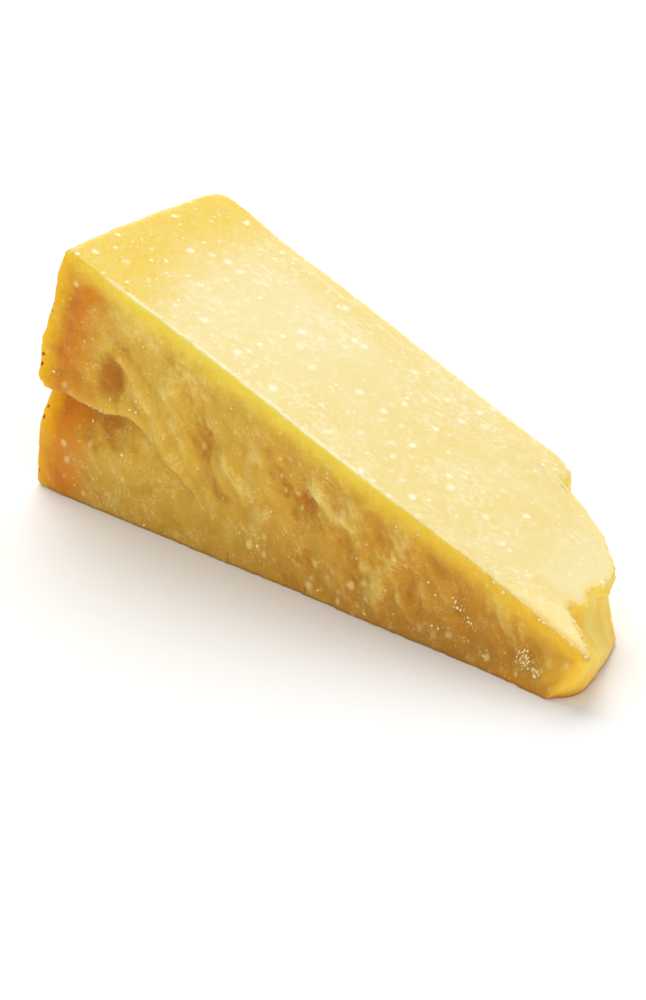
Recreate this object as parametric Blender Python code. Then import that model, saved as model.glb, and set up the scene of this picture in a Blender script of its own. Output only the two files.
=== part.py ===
"""A wedge-shaped chunk of parmesan, lying on one of its two radial cuts.

The chunk is a slice out of a big wheel. The wheel's axis lies level, along Y, just past the chunk's thin end,
so the two radial cuts are the flat underside and the sloping top, and the rind is the upright thick end.
The front and back are breaks across the wheel's height, with crags in them, and the thin end is broken off.

Lengths in this script are millimetres until place_on_origin turns them into metres.
Chunk coordinates: x runs from the rind's foot to the thin end, y from the front break to the back one, z up.
A height share of 0 is the underside and 1 is the top cut, whatever the slice's thickness there.
"""

import bmesh
import bpy
import numpy as np

METRES_PER_MM = 0.001

# The wheel that the chunk was cut from, and the slice.
WHEEL_RADIUS = 215.0
WEDGE_ANGLE = np.radians(18.1)
TOP_SLOPE = np.tan(WEDGE_ANGLE)
WIDTH = 55.0

# Cells of the block along its length, width and height, drawn closer near the edges, and the triangles kept.
CELLS = (150, 46, 64)
EDGE_PULL = (0.25, 0.4, 0.35)
TRIANGLES = 9600

# How far the rind stands out from the wheel's circle, by height share, and how much it bows across the width.
RIND_HEIGHT = (0.0, 0.25, 0.45, 0.6, 0.75, 0.9, 1.0)
RIND_SWELL = (3.9, 3.1, 3.3, 4.1, 3.0, 2.5, 2.1)
RIND_BOW = 0.0014
RIND_BUMP_SIZE, RIND_BUMP = 9.0, 0.3

# The front break's line along the underside and along the top, and the back break's line, by distance from the rind.
FOOT_X, FOOT_Y = (0.0, 60.0, 85.0, 110.0, 150.0, 170.0), (0.0, -0.3, -0.3, -0.8, -1.4, -2.6)
CREST_X, CREST_Y = (0.0, 12.0, 30.0, 110.0, 145.0, 175.0), (0.8, 0.9, 1.8, 1.8, 2.4, 0.6)
BACK_X = (0.0, 12.0, 35.0, 60.0, 90.0, 118.0, 125.0, 131.0, 175.0)
BACK_Y = (55.8, 56.2, 54.6, 54.2, 53.0, 52.2, 52.4, 50.8, 50.0)

# The broken thin end, as knots across the width. Each row of x is a curve that the end's surface passes through:
# the foot, the ridge that stands out furthest, the shelf behind the scoop, and the crest of the short wall on it.
END_Y = (-1.5, 1.0, 3.6, 7.3, 10.2, 14.6, 20.0, 25.0, 31.0, 36.3, 40.2, 44.0, 45.4, 50.0, 54.0)
END_CREST = (175.0, 175.6, 173.9, 168.1, 162.8, 163.6, 162.0, 161.4, 159.8, 152.1, 146.2, 138.0, 134.9, 131.6, 128.5)
END_SHELF = (175.0, 175.6, 174.2, 169.0, 163.4, 163.2, 161.4, 160.2, 157.7, 150.8, 145.4, 137.4, 135.4, 131.6, 127.8)
END_RIDGE = (175.0, 175.6, 174.4, 172.8, 171.4, 169.4, 166.2, 163.4, 159.8, 152.8, 146.6, 138.6, 136.6, 132.4, 127.4)
END_FOOT = (166.4, 168.6, 169.8, 169.8, 169.0, 167.4, 165.0, 162.8, 159.4, 152.2, 145.8, 137.6, 135.6, 131.0, 125.5)
SHELF_HEIGHT = (0.99, 0.99, 0.98, 0.96, 0.94, 0.89, 0.83, 0.75, 0.64, 0.70, 0.74, 0.76, 0.78, 0.80, 0.80)
RIDGE_HEIGHT = (0.93, 0.90, 0.82, 0.66, 0.56, 0.43, 0.24, 0.12, 0.08, 0.14, 0.20, 0.26, 0.28, 0.30, 0.30)
SCOOP_POWER, UNDERCUT_POWER = 1.5, 0.75
END_CRUMB_SIZE, END_CRUMB = 5.0, 0.45

# The step across the front break: the slab above this line stands proud of the one below it.
STEP_X = (-4.0, 11.0, 24.0, 30.0, 38.0, 44.0, 52.0, 62.0)
STEP_Z = (29.6, 28.2, 27.6, 28.2, 24.6, 20.8, 14.6, 8.0)
STEP_DEPTH = (6.2, 6.0, 4.6, 3.6, 2.4, 1.7, 0.9, 0.0)
STEP_DROP, STEP_FADE = 0.9, 13.0
LIP_SHARE, LIP_RISE, LIP_HALF_WIDTH = 0.22, 2.0, 3.2

# Hollows in the two breaks: x, z, half width, half height, depth.
FRONT_HOLLOWS = (
    (26.9, 37.6, 4.3, 5.4, 3.3),
    (42.2, 34.1, 3.2, 6.0, 1.5),
    (56.0, 28.5, 5.0, 6.5, 1.9),
    (18.5, 22.5, 8.0, 4.0, 1.2),
    (83.0, 28.0, 4.5, 5.0, 1.0),
    (89.5, 21.5, 5.0, 5.5, 1.2),
    (101.0, 18.5, 3.5, 5.0, 1.3),
    (128.0, 15.5, 6.0, 4.0, 0.9),
    (140.0, 12.5, 6.0, 4.0, 0.8),
)
BACK_HOLLOWS = (
    (34.0, 40.0, 9.0, 7.0, 2.4),
    (70.0, 20.0, 12.0, 6.0, 1.8),
    (97.0, 26.0, 7.0, 6.0, 1.3),
)

# Ribs that stand out of the two breaks: x and z of both ends, half width, height.
FRONT_RIBS = (
    (28.0, 42.6, 50.5, 17.0, 2.0, 1.6),
    (45.0, 38.9, 51.0, 22.8, 2.3, 1.1),
    (62.9, 26.6, 69.5, 18.5, 1.7, 1.1),
    (92.1, 28.4, 98.8, 22.0, 1.9, 0.9),
    (102.6, 22.7, 108.5, 14.0, 2.3, 1.0),
    (20.5, 45.6, 26.5, 43.0, 1.8, 0.8),
)
BACK_RIBS = (
    (18.0, 30.0, 52.0, 14.0, 2.6, 1.6),
    (50.0, 40.0, 84.0, 24.0, 2.2, 1.3),
)

# Relief all over a break: hackles that run down towards the thin end, rounder lumps and a fine grain.
FRONT_DIP, BACK_DIP = np.radians(52.0), np.radians(38.0)
HACKLE_LENGTH, HACKLE_WIDTH, HACKLE_HEIGHT = 17.0, 6.5, 1.1
HACKLE_BEND, HACKLE_BEND_SIZE, HACKLE_LEVEL = 2.2, 14.0, 0.45
LUMP_SIZE, LUMP_HEIGHT = 7.5, 0.85
GRAIN_SIZE, GRAIN_HEIGHT = 2.2, 0.16
PATCH_SIZE = 30.0
CALM_UNDER_TOP, CALM_OVER_FOOT, FULL_RELIEF_THICKNESS = 7.0, 5.0, 34.0

# Rounding of the edges, the softer one along the rind, and how far the top cut sags along its back edge.
EDGE_ROUND, RIND_ROUND, RIND_ROUND_REACH = 0.75, 1.7, 9.0
BACK_SAG, BACK_SAG_REACH = 0.35, 5.0
TOP_WAVE, TOP_WAVE_SIZE = 0.12, 38.0
TOP_ONLY = 8

# Where in the random lattice each kind of relief is read from.
FRONT_SEED, BACK_SEED, RIND_SEED, END_SEED, EDGE_SEED, TOP_SEED = 100, 200, 300, 400, 500, 600
LATTICE_CELLS = 48
SETTLING_ROUNDS = 3


def smooth_step(low, high, value):
    """0 below low and 1 above high, with a smooth cubic between them."""
    share = np.clip((value - low) / (high - low), 0.0, 1.0)
    return share * share * (3.0 - 2.0 * share)


def bell(value, half_width):
    """1 at zero, falling away on both sides like a bell."""
    return np.exp(-((value / half_width) ** 2))


def through(knots, heights, value):
    """A smooth curve through the knots: a cubic in each span, with the mean slope of the two spans at a knot."""
    knots, heights = np.asarray(knots, float), np.asarray(heights, float)
    slopes = np.gradient(heights, knots)
    value = np.clip(value, knots[0], knots[-1])
    span = np.clip(np.searchsorted(knots, value) - 1, 0, len(knots) - 2)
    width = knots[span + 1] - knots[span]
    s = (value - knots[span]) / width
    start = (1.0 + 2.0 * s) * (1.0 - s) ** 2 * heights[span] + s * (1.0 - s) ** 2 * width * slopes[span]
    end = s * s * (3.0 - 2.0 * s) * heights[span + 1] + s * s * (s - 1.0) * width * slopes[span + 1]
    return start + end


def noise(seed, *coordinates):
    """Smooth noise from -1 to 1: random values on a repeating lattice one unit apart, eased between its points."""
    lattice = np.random.default_rng(seed).uniform(-1.0, 1.0, (LATTICE_CELLS,) * 3)
    points = np.stack(np.broadcast_arrays(*coordinates))
    cell = np.floor(points).astype(int)
    eased = points - cell
    eased = eased**3 * (eased * (eased * 6.0 - 15.0) + 10.0)
    total = 0.0
    for corner in np.ndindex(2, 2, 2):
        index = tuple((cell[axis] + corner[axis]) % LATTICE_CELLS for axis in range(3))
        weight = 1.0
        for axis in range(3):
            weight = weight * (eased[axis] if corner[axis] else 1.0 - eased[axis])
        total = total + weight * lattice[index]
    return total


def layered_noise(seed, size, layers, *coordinates):
    """Noise whose largest bumps are size apart, with layers half as large and half as high on top of it."""
    total = 0.0
    for layer in range(layers):
        scaled = [c * 2.0**layer / size for c in coordinates]
        total = total + 0.5**layer * noise(seed + layer, *scaled)
    return total


def break_relief(x, z, top, seed, dip):
    """How far a break stands out of its plane: hackles along the dip, in patches, with lumps and grain.

    It dies down towards the two cuts, whose edges are nearly straight, and where the slice is thin.
    """
    along = x * np.cos(dip) - z * np.sin(dip)
    across = x * np.sin(dip) + z * np.cos(dip)
    across = across + HACKLE_BEND * noise(seed + 20, x / HACKLE_BEND_SIZE, z / HACKLE_BEND_SIZE, 0.0)
    hackle = 1.0 - 2.0 * np.abs(noise(seed, along / HACKLE_LENGTH, across / HACKLE_WIDTH, 0.5))
    patch = 0.45 + 0.55 * smooth_step(-0.5, 0.5, noise(seed + 30, x / PATCH_SIZE, z / PATCH_SIZE, 2.0))
    lump = layered_noise(seed + 3, LUMP_SIZE, 2, x, z, 0.0)
    grain = layered_noise(seed + 9, GRAIN_SIZE, 2, x, z, 0.0)
    strength = smooth_step(0.0, CALM_UNDER_TOP, top - z) * smooth_step(-1.5, CALM_OVER_FOOT, z)
    strength = strength * (0.45 + 0.55 * smooth_step(0.0, FULL_RELIEF_THICKNESS, top))
    relief = HACKLE_HEIGHT * (hackle - HACKLE_LEVEL) * patch + LUMP_HEIGHT * lump
    return relief * strength + GRAIN_HEIGHT * grain


def hollows(places, x, z):
    """Depth of the smooth hollows at these places, each a bell with a wandering outline."""
    wobble = 0.9 * noise(71, x / 6.0, z / 6.0, 0.0)
    depth = 0.0
    for centre_x, centre_z, half_width, half_height, deep in places:
        depth = depth + deep * bell(x - centre_x + wobble, half_width) * bell(z - centre_z - wobble, half_height)
    return depth


def ribs(places, x, z):
    """Height of the rounded ribs that run between pairs of points, each a bell across its length."""
    uneven = 1.0 + 0.35 * noise(81, x / 5.0, z / 5.0, 0.0)
    total = 0.0
    for start_x, start_z, end_x, end_z, half_width, rise in places:
        run_x, run_z = end_x - start_x, end_z - start_z
        share = ((x - start_x) * run_x + (z - start_z) * run_z) / (run_x**2 + run_z**2)
        nearest = np.clip(share, 0.0, 1.0)
        away = np.hypot(x - start_x - nearest * run_x, z - start_z - nearest * run_z)
        total = total + rise * uneven * bell(away, half_width)
    return total


def front_break(x, z, top, height):
    """y of the front break: a plane from its foot to its crest, the step with its lip, hollows, ribs and relief."""
    foot, crest = through(FOOT_X, FOOT_Y, x), through(CREST_X, CREST_Y, x)
    plane = foot + (crest - foot) * height
    below = through(STEP_X, STEP_Z, x) + 0.7 * noise(41, x / 5.0, 0.0, 0.0) - z
    depth = through(STEP_X, STEP_DEPTH, x)
    step = depth * smooth_step(-0.2, STEP_DROP, below) * (1.0 - smooth_step(0.0, STEP_FADE, below))
    lip = LIP_SHARE * depth * bell(below + LIP_RISE, LIP_HALF_WIDTH)
    calm = 1.0 - 0.6 * smooth_step(0.0, STEP_DEPTH[0], depth) * smooth_step(0.0, 6.0, below)
    relief = break_relief(x, z, top, FRONT_SEED, FRONT_DIP) * calm
    return plane + step - lip + hollows(FRONT_HOLLOWS, x, z) - ribs(FRONT_RIBS, x, z) - relief


def back_break(x, z, top):
    """y of the back break, which nears the front one towards the thin end, with hollows, ribs and relief."""
    relief = break_relief(x, z, top, BACK_SEED, BACK_DIP)
    return through(BACK_X, BACK_Y, x) + relief + ribs(BACK_RIBS, x, z) - hollows(BACK_HOLLOWS, x, z)


def rind(y, height):
    """x of the rind: an arc of the wheel that swells unevenly and bows a little across the width."""
    angle = height * WEDGE_ANGLE
    swell = through(RIND_HEIGHT, RIND_SWELL, height) - RIND_BOW * (y - 0.5 * WIDTH) ** 2
    bumps = RIND_BUMP * layered_noise(RIND_SEED, RIND_BUMP_SIZE, 3, y, angle * WHEEL_RADIUS, 0.0)
    return WHEEL_RADIUS - (WHEEL_RADIUS + swell + bumps) * np.cos(angle)


def broken_end(y, height):
    """x of the thin end: from the foot out to a ridge, back in over a scoop, then up a short crumbly wall."""
    foot, ridge, shelf, crest = (
        through(END_Y, knots, y) for knots in (END_FOOT, END_RIDGE, END_SHELF, END_CREST)
    )
    ridge_height = through(END_Y, RIDGE_HEIGHT, y)
    shelf_height = through(END_Y, SHELF_HEIGHT, y)
    below = np.clip(height / ridge_height, 0.0, 1.0)
    scooped = np.clip((shelf_height - height) / (shelf_height - ridge_height), 0.0, 1.0)
    wall = smooth_step(shelf_height, 0.5 + 0.5 * shelf_height, height)
    undercut = foot + (ridge - foot) * below**UNDERCUT_POWER
    scoop = shelf + (ridge - shelf) * scooped**SCOOP_POWER
    end = np.where(height < ridge_height, undercut, scoop) + (crest - shelf) * wall
    crumbly = 0.35 + 0.65 * wall + 0.5 * smooth_step(30.0, 38.0, y)
    thickness = (WHEEL_RADIUS - end) * TOP_SLOPE
    return end + END_CRUMB * crumbly * layered_noise(END_SEED, END_CRUMB_SIZE, 3, y, height * thickness, 0.0)


def edge_rounding(x, y, z, top, from_rind, to_end):
    """How far points near an edge of the block move inwards, onto a quarter circle whose radius wanders."""
    softer = 1.0 - smooth_step(1.0, RIND_ROUND_REACH, from_rind)
    radius = EDGE_ROUND * (1.0 + 0.5 * layered_noise(EDGE_SEED, 4.0, 2, x, y, z))
    radius = radius + (RIND_ROUND - EDGE_ROUND) * softer
    past = np.stack(
        [
            np.maximum(radius - from_rind, 0.0) - np.maximum(radius - to_end, 0.0),
            np.maximum(radius - y, 0.0) - np.maximum(radius - (WIDTH - y), 0.0),
            np.maximum(radius - z, 0.0) - np.maximum(radius - (top - z), 0.0),
        ],
        axis=-1,
    )
    reach = np.maximum(np.linalg.norm(past, axis=-1), radius)
    return past * (1.0 - radius / reach)[..., None]


def chunk_points(length, width, height):
    """Points of the chunk for shares from 0 to 1 along the length, width and height of a block.

    The ends' x depends on y and the breaks' y depends on x, so the two are worked out in turn until they settle.
    """
    y = width * WIDTH
    for _ in range(SETTLING_ROUNDS):
        start, end = rind(y, height), broken_end(y, height)
        x = start + (end - start) * length
        z = (WHEEL_RADIUS - x) * np.tan(height * WEDGE_ANGLE)
        top = (WHEEL_RADIUS - x) * TOP_SLOPE
        front, back = front_break(x, z, top, height), back_break(x, z, top)
        y = front + (back - front) * width
    flat_y = width * WIDTH
    inwards = edge_rounding(x, flat_y, z, top, (end - start) * length, (end - start) * (1.0 - length))
    sag = BACK_SAG * (1.0 - smooth_step(0.0, BACK_SAG_REACH, WIDTH - flat_y))
    wave = TOP_WAVE * noise(TOP_SEED, x / TOP_WAVE_SIZE, y / TOP_WAVE_SIZE, 0.0)
    return np.stack([x, y, z - (sag + wave) * height**TOP_ONLY], axis=-1) + inwards


def block_mesh(name, cells):
    """A unit cube from 0 to 1 whose faces are cut into cells along each axis."""
    mesh = bpy.data.meshes.new(name)
    shape = bmesh.new()
    bmesh.ops.create_cube(shape, size=1.0)
    bmesh.ops.translate(shape, vec=(0.5, 0.5, 0.5), verts=shape.verts)
    for axis, count in enumerate(cells):
        along = [e for e in shape.edges if abs(e.verts[0].co[axis] - e.verts[1].co[axis]) > 0.5]
        bmesh.ops.subdivide_edges(shape, edges=along, cuts=count - 1, use_grid_fill=True)
    shape.to_mesh(mesh)
    shape.free()
    return mesh


def gathered(share, pull):
    """Shares from 0 to 1, drawn closer together near both ends."""
    return share - pull * np.sin(2.0 * np.pi * share) / (2.0 * np.pi)


def place_on_origin(points):
    """Millimetres to metres, with the middle of the underside's box at the origin."""
    low, high = points.min(axis=0), points.max(axis=0)
    middle = 0.5 * (low + high)
    middle[2] = low[2]
    return (points - middle) * METRES_PER_MM


def cheese_material():
    """Pale straw-yellow cheese with a slight waxy sheen."""
    material = bpy.data.materials.new("cheese")
    material.use_nodes = True
    shader = material.node_tree.nodes["Principled BSDF"]
    shader.inputs["Base Color"].default_value = (0.83, 0.60, 0.20, 1.0)
    shader.inputs["Roughness"].default_value = 0.45
    shader.inputs["Metallic"].default_value = 0.0
    return material


def make_chunk():
    """The chunk: a cut-up block bent into the slice's shape, then thinned where it is flat."""
    mesh = block_mesh("parmesan_chunk", CELLS)
    shares = np.empty(len(mesh.vertices) * 3, np.float32)
    mesh.vertices.foreach_get("co", shares)
    shares = shares.reshape(-1, 3).astype(float)
    length, width, height = (gathered(shares[:, axis], pull) for axis, pull in enumerate(EDGE_PULL))
    points = place_on_origin(chunk_points(length, width, height))
    mesh.vertices.foreach_set("co", points.astype(np.float32).ravel())
    mesh.materials.append(cheese_material())
    mesh.update()
    chunk = bpy.data.objects.new("parmesan_chunk", mesh)
    bpy.context.scene.collection.objects.link(chunk)
    thin = chunk.modifiers.new("thin", "DECIMATE")
    thin.ratio = TRIANGLES / (2 * len(mesh.polygons))
    mesh.shade_smooth()
    mesh.set_sharp_from_angle(angle=np.radians(40.0))


def main():
    for old in list(bpy.data.objects):
        bpy.data.objects.remove(old)
    make_chunk()


main()
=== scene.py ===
"""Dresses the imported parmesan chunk: its fine form, rind, crystals, crumbs, floor, light and camera.

It is laid out as a Blender add-on and run as a script. The panel's operators make the pieces in order.

Chunk coordinates, in millimetres, are the ones that the part's own source uses: x runs from the rind's foot
to the thin end, y from the front break to the back one, and z up. A height share of 0 is the flat underside,
and 1 is the sloping top cut, whatever the slice's thickness there. The frame is in metres, with its origin
under the chunk.
"""

import bpy
import numpy as np
from bpy.props import FloatProperty, FloatVectorProperty, IntProperty, PointerProperty
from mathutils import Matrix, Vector


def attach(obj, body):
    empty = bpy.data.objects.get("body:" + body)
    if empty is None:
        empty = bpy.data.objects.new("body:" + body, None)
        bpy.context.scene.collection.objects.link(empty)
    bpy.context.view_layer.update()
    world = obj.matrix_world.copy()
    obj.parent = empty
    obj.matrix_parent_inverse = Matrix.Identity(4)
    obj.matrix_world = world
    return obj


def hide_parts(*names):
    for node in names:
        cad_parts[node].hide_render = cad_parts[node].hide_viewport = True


bl_info = {
    "name": "Parmesan chunk",
    "version": (1, 0, 0),
    "blender": (4, 5, 0),
    "location": "View3D > Sidebar > Cheese",
    "description": "Makes a chunk of parmesan around its packed solid, with crumbs and a stage",
    "category": "Object",
}

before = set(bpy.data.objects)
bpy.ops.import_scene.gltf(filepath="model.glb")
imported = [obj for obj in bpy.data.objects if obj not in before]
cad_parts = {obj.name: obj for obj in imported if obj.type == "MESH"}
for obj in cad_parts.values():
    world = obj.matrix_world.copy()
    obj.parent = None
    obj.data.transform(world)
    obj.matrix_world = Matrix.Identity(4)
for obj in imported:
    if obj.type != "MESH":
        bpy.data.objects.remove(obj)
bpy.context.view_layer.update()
MM = 0.001

# The frame's origin in chunk coordinates: the middle of the underside's box.
ORIGIN = np.array([85.79, 27.69, 0.0])

# The wheel that the chunk was cut from, and the slice.
WHEEL_RADIUS = 215.0
WEDGE_ANGLE = np.radians(18.1)
TOP_SLOPE = np.tan(WEDGE_ANGLE)
WIDTH = 55.0

# How strongly the block's cells are drawn towards its edges, along its length, width and height, and how many
# rounds its ends and sides are worked out in.
EDGE_PULL = (0.3, 0.4, 0.35)
SETTLING_ROUNDS = 3

# How far the rind stands out from the wheel's circle, by height share, and how much it bows across the width.
RIND_HEIGHT = (0.0, 0.25, 0.45, 0.6, 0.75, 0.9, 1.0)
RIND_SWELL = (3.9, 3.1, 3.3, 4.1, 3.0, 2.5, 2.1)
RIND_BOW = 0.0014
RIND_BUMP_SIZE, RIND_BUMP = 9.0, 0.3

# The front break's line along the underside and along the top, and the back break's line.
FOOT_X, FOOT_Y = (0.0, 60.0, 85.0, 110.0, 150.0, 170.0), (0.0, -0.3, -0.3, -0.8, -1.4, -2.6)
CREST_X, CREST_Y = (0.0, 12.0, 30.0, 110.0, 145.0, 175.0), (0.8, 0.9, 1.8, 1.8, 2.4, 0.6)
BACK_X = (0.0, 12.0, 35.0, 60.0, 90.0, 118.0, 125.0, 131.0, 175.0)
BACK_Y = (55.8, 56.4, 55.2, 54.9, 53.8, 52.9, 52.8, 50.6, 50.0)

# The broken thin end, as knots across the width. In each row: y, then x of the foot, of the ridge that stands
# out furthest, of the shelf behind the scoop and of the short wall's crest, then the height shares of the
# ridge and the shelf.
END_KNOTS = (
    (-1.5, 166.4, 175.0, 175.0, 175.0, 0.93, 0.99),
    (1.0, 168.6, 175.6, 175.6, 175.6, 0.90, 0.99),
    (3.6, 169.8, 174.4, 174.2, 173.9, 0.82, 0.98),
    (7.3, 169.8, 172.8, 169.0, 168.1, 0.66, 0.96),
    (10.2, 169.0, 171.4, 163.0, 162.4, 0.56, 0.94),
    (14.6, 167.4, 169.4, 162.6, 163.0, 0.43, 0.89),
    (20.0, 165.0, 166.2, 160.8, 161.2, 0.24, 0.83),
    (25.0, 162.8, 163.4, 159.6, 160.6, 0.12, 0.75),
    (31.0, 159.4, 159.8, 157.3, 159.2, 0.08, 0.64),
    (36.3, 152.2, 152.8, 150.6, 151.8, 0.14, 0.70),
    (40.2, 145.8, 146.6, 145.4, 146.2, 0.20, 0.74),
    (44.0, 137.6, 138.6, 137.4, 138.0, 0.26, 0.76),
    (45.4, 135.6, 136.6, 132.6, 132.0, 0.28, 0.78),
    (50.0, 131.0, 132.4, 130.6, 130.4, 0.30, 0.80),
    (54.0, 125.5, 127.4, 127.4, 128.0, 0.30, 0.80),
)
END_Y, END_FOOT, END_RIDGE, END_SHELF, END_CREST, RIDGE_HEIGHT, SHELF_HEIGHT = zip(*END_KNOTS)
SCOOP_POWER, UNDERCUT_POWER = 1.5, 0.75
END_CRUMB_SIZE, END_CRUMB, WALL_CRUMBLY = 5.0, 0.45, 1.5

# The step across the front break: the slab above this line stands proud of the one below it.
STEP_X = (-4.0, 11.0, 24.0, 30.0, 38.0, 44.0, 52.0, 62.0)
STEP_Z = (29.6, 28.2, 27.6, 28.2, 24.6, 20.8, 14.6, 8.0)
STEP_DEPTH = (6.2, 6.0, 4.6, 3.6, 2.4, 1.7, 0.9, 0.0)
STEP_DROP, STEP_FADE = 0.9, 13.0
STEP_WANDER, STEP_WANDER_SIZE = 0.7, 5.0
LIP_SHARE, LIP_RISE, LIP_HALF_WIDTH = 0.22, 2.0, 3.2
# Painted shade under the step: how far the finish takes the ground under it for a hollow, as a share of the
# step's depth.
SHADED_STEP = 0.3

# Hollows in the two breaks: x, z, half width, half height, depth. The front break's first one is the pit.
FRONT_HOLLOWS = (
    (24.2, 37.4, 4.6, 6.4, 2.0),
    (47.5, 31.5, 4.0, 6.5, 0.9),
    (56.0, 28.5, 6.0, 8.0, 1.4),
    (18.5, 22.5, 8.0, 4.0, 1.0),
    (83.0, 28.0, 5.5, 6.0, 1.0),
    (89.5, 21.5, 6.0, 6.5, 1.2),
    (101.0, 18.5, 4.5, 6.0, 1.1),
    (128.0, 15.5, 6.0, 4.0, 0.7),
    (140.0, 12.5, 6.0, 4.0, 0.7),
)
BACK_HOLLOWS = (
    (34.0, 40.0, 9.0, 7.0, 2.4),
    (70.0, 20.0, 12.0, 6.0, 1.8),
    (97.0, 26.0, 7.0, 6.0, 1.3),
)
HOLLOW_WANDER, HOLLOW_WANDER_SIZE = 0.9, 6.0

# Painted shading of the front break's soft hollows and swells: browner patches, as hollows that only its
# finish sees, and paler ones, less than 0 deep.
FRONT_PAINTED_SHADING = (
    (15.2, 14.0, 4.5, 7.0, 1.5),
    (21.0, 23.0, 5.5, 4.5, 1.4),
    (23.9, 43.5, 4.0, 4.0, 1.5),
    (38.8, 38.5, 4.5, 6.5, -1.5),
    (53.4, 28.5, 4.0, 5.0, 1.1),
    (53.1, 10.7, 5.0, 5.0, -1.0),
    (67.9, 12.5, 5.0, 7.0, -1.5),
    (68.1, 30.0, 4.0, 5.0, -1.0),
    (75.2, 23.7, 4.0, 5.0, 1.3),
    (82.3, 8.4, 5.0, 5.0, 1.2),
    (103.4, 21.2, 4.0, 4.0, -1.0),
    (110.4, 12.0, 4.0, 5.0, -1.0),
    (110.5, 2.0, 7.0, 3.0, 1.0),
    (127.5, 12.0, 6.0, 4.0, -1.2),
    (144.1, 17.6, 6.0, 4.0, -1.5),
)

# Ribs that stand out of the two breaks: x and z of both ends, half width, height.
FRONT_RIBS = (
    (28.0, 42.6, 50.5, 17.0, 2.4, 0.9),
    (45.0, 38.9, 51.0, 22.8, 2.5, 0.9),
    (62.9, 26.6, 69.5, 18.5, 1.7, 1.1),
    (92.1, 28.4, 98.8, 22.0, 1.9, 0.9),
    (102.6, 22.7, 108.5, 14.0, 2.3, 1.0),
    (20.5, 45.6, 26.5, 43.0, 1.8, 0.8),
)
BACK_RIBS = (
    (18.0, 30.0, 52.0, 14.0, 2.6, 1.6),
    (50.0, 40.0, 84.0, 24.0, 2.2, 1.3),
)
RIB_UNEVEN, RIB_UNEVEN_SIZE = 0.35, 5.0

# Relief all over a break: hackles that run down towards the thin end, rounder lumps, a fine grain and rough
# patches. It calms down towards both cuts and where the slice is thin.
FRONT_DIP, BACK_DIP = np.radians(52.0), np.radians(38.0)
HACKLE_LENGTH, HACKLE_WIDTH, HACKLE_HEIGHT = 17.0, 6.5, 0.7
HACKLE_BEND, HACKLE_BEND_SIZE, HACKLE_LEVEL = 2.2, 14.0, 0.45
LUMP_SIZE, LUMP_HEIGHT = 7.5, 0.55
GRAIN_SIZE, GRAIN_HEIGHT = 2.2, 0.17
ROUGH_SIZE, ROUGH_HEIGHT, ROUGH_PATCH = 3.4, 0.34, 13.0
PATCH_SIZE = 30.0
CALM_UNDER_TOP, CALM_OVER_FOOT, FULL_RELIEF_THICKNESS = 7.0, 5.0, 34.0
LEAST_PATCH, LEAST_RELIEF = 0.45, 0.45

# Rounding of the edges, softer along the rind, and how far the top cut sags along its back edge and waves.
# The power of the height share keeps the sag and the waves to the top.
EDGE_ROUND, RIND_ROUND, RIND_ROUND_REACH = 0.75, 1.7, 9.0
ROUND_UNEVEN, ROUND_UNEVEN_SIZE = 0.5, 4.0
RIND_NICK, RIND_NICK_SIZE = 0.3, 2.6
BACK_SAG, BACK_SAG_REACH = 0.35, 5.0
TOP_WAVE, TOP_WAVE_SIZE = 0.12, 38.0
TOP_POWER = 8

# Chips knocked out of the edges, larger towards the thin end.
CHIP_SIZE, CHIP_DEPTH, LEAST_CHIPS = 2.4, 0.9, 0.35

# How much rounder the top's front edge is at the thin end, and by what share the foot's edges are sharper.
TIP_ROUND, FOOT_SHARPER = 1.8, 0.8

# How far from the edges the finish still needs to tell distances.
END_REACH, TOP_REACH = 20.0, 8.0

# Pin-dots pressed into the rind: rows and columns this far apart, in plain diamond-shaped bands.
DOT_PITCH, DOT_RADIUS, DOT_DEPTH = 2.5, 0.5, 0.35
DOT_START_Y, DOT_START_Z = -1.4, 1.9
BAND_PERIOD_Y, BAND_PERIOD_Z = 19.0, 15.6
BAND_MIDDLE_Y, BAND_MIDDLE_Z = 8.0, 35.7
BAND_SHARE_Y, BAND_LEVEL = 0.6, 0.1

# Which random lattice each kind of relief is read from, and how many cells a lattice has along each side.
STEP_SEED, HOLLOW_SEED, RIB_SEED, FRONT_SEED, BACK_SEED, RIND_SEED = 41, 71, 81, 100, 200, 300
END_SEED, EDGE_SEED, TOP_SEED, CHIP_SEED, CRUMB_SEED = 400, 500, 600, 700, 800
LATTICE_CELLS = 48

# Crystals large enough to be placed one by one, each a little ball that a surface cuts: x, y, z, radius.
CRYSTALS = (
    (32.5, 34.7, 59.7, 1.3),
    (36.8, 34.4, 58.2, 1.2),
    (46.3, 11.9, 55.1, 1.3),
    (61.0, 30.6, 50.3, 1.3),
    (59.0, 10.1, 51.0, 1.2),
    (104.1, 22.1, 36.2, 1.2),
    (135.5, 27.1, 26.0, 1.1),
    (85.4, 0.6, 34.9, 1.4),
    (76.2, 0.0, 10.9, 1.2),
    (92.4, 0.0, 8.8, 1.5),
    (63.4, 0.8, 43.1, 1.2),
    (62.9, 0.5, 33.0, 1.2),
    (93.4, 0.3, 26.2, 1.3),
    (101.0, 0.3, 25.5, 1.2),
)

# Cracks that run up from the front break's foot: x and height.
CRACKS = ((64.5, 3.0), (90.0, 2.6))

# Where loose crumbs lie thickest on the front break: x, z, how far they spread, how thickly.
CRUMB_CLUSTERS = (
    (158.0, 6.4, 1.4, 5.0),
    (161.9, 4.7, 0.9, 5.0),
    (137.0, 13.0, 1.5, 2.0),
    (139.5, 9.5, 1.2, 2.0),
    (21.0, 28.8, 2.2, 0.5),
)


def smooth_step(low, high, value):
    """0 below low and 1 above high, with a smooth cubic between them. Given high first, it falls instead."""
    share = np.clip((value - low) / (high - low), 0.0, 1.0)
    return share * share * (3.0 - 2.0 * share)


def bell(value, half_width):
    """1 at zero, falling away on both sides like a bell."""
    return np.exp(-((value / half_width) ** 2))


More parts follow.
